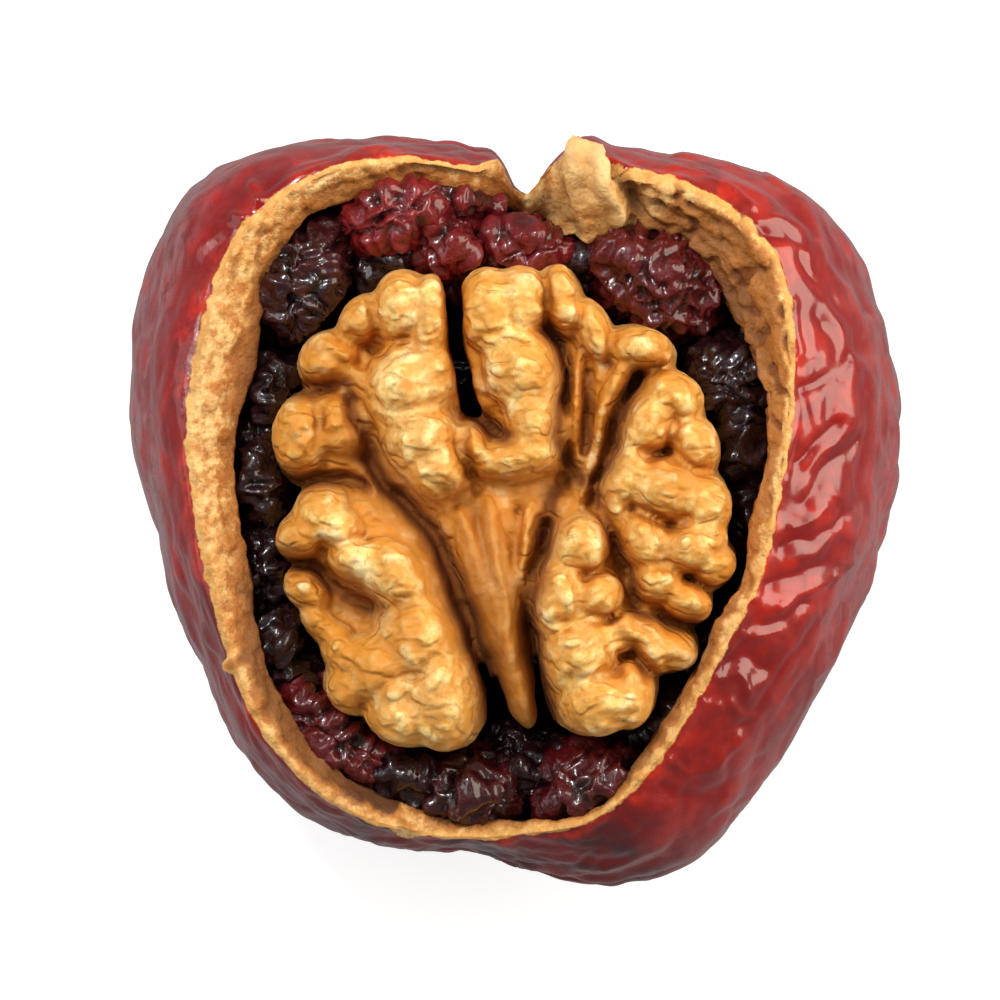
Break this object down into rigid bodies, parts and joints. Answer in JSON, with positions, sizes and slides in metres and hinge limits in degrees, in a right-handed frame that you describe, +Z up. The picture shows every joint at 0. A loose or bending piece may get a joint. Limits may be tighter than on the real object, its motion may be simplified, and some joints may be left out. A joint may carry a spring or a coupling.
{
  "type": "walnut-stuffed dried jujube",
  "caption": "Dried red jujube opened into a cup, filled with raisins and half a walnut kernel set in them lobed side up; rests on a small flat spot.",
  "frame": {"origin": "middle of the footprint, on the plane that the fruit rests on", "axes": "+Z up out of the opened side, +Y towards the stem end, +X towards the crumpled flank"},
  "size_m": [0.0446, 0.0434, 0.025],
  "materials": {
    "jujube": "wrinkled glossy deep red skin outside, dull porous tan flesh on the opened rim and inside",
    "walnut": "golden tan kernel skin with a soft gloss, darker brown in the grooves and on the web",
    "raisin_black": "blue-black puckered skin with sharp glossy folds",
    "raisin_red": "dark red-purple puckered skin with sharp glossy folds"
  },
  "bodies": {
    "root": {"jujube": "jujube", "walnut_kernel": "walnut", "raisin_01": "raisin_black", "raisin_02": "raisin_red", "raisin_03": "raisin_red", "raisin_04": "raisin_red", "raisin_05": "raisin_red", "raisin_06": "raisin_red", "raisin_07": "raisin_black", "raisin_08": "raisin_black", "raisin_09": "raisin_black", "raisin_10": "raisin_black", "raisin_11": "raisin_black", "raisin_12": "raisin_black", "raisin_13": "raisin_red", "raisin_14": "raisin_black", "raisin_15": "raisin_red", "raisin_16": "raisin_black", "raisin_17": "raisin_red", "raisin_18": "raisin_black", "raisin_19": "raisin_black", "raisin_20": "raisin_black", "raisin_21": "raisin_black", "raisin_22": "raisin_black", "raisin_23": "raisin_black", "raisin_24": "raisin_red", "raisin_25": "raisin_black", "raisin_26": "raisin_black", "raisin_27": "raisin_red", "raisin_28": "raisin_black"}
  },
  "joints": []
}
